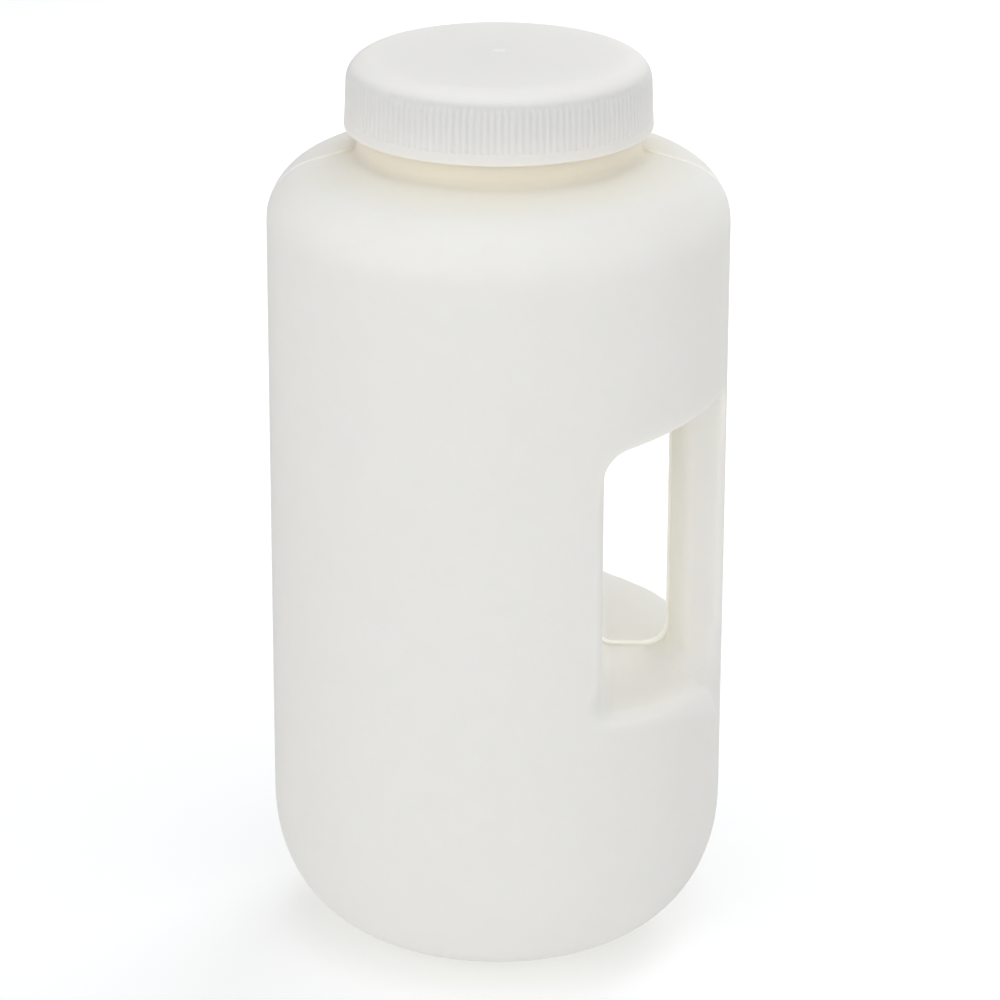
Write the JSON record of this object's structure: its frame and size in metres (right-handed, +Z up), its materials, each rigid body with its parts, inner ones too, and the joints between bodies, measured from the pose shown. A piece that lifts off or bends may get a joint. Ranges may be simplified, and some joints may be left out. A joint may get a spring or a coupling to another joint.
{
  "type": "reagent bottle",
  "caption": "Wide-mouth plastic reagent bottle with a moulded-in side handle, a ribbed screw closure and a loose sealing liner.",
  "frame": {"origin": "on the bottle's axis, in the plane of the ring that it stands on", "axes": "+Z up along the bottle's axis, +X through the middle of the handle, mould parting plane at Y = 0"},
  "size_m": [0.158, 0.158, 0.3171],
  "materials": {
    "bottle_hdpe": "satin natural HDPE, faintly translucent, slightly warm where the wall is lit from behind",
    "cap_pp": "satin opaque white PP with a fine moulded texture",
    "liner_foam": "matt white closed-cell PE foam"
  },
  "bodies": {
    "bottle": {"bottle": "bottle_hdpe"},
    "liner": {"liner": "liner_foam"},
    "cap": {"cap": "cap_pp"}
  },
  "joints": [
    {"name": "liner_lift", "type": "slide", "parent": "bottle", "child": "liner", "axis": [0, 0, 1], "range_m": [0, 0.0229]},
    {"name": "cap_turn", "type": "hinge", "parent": "liner", "child": "cap", "pos_m": [0, 0, 0.3], "axis": [0, 0, 1], "range_deg": [0, 1620]}
  ],
  "couplings": [
    {"joint": "liner_lift", "follows": "cap_turn", "m_per_rad": 0.00080851}
  ]
}
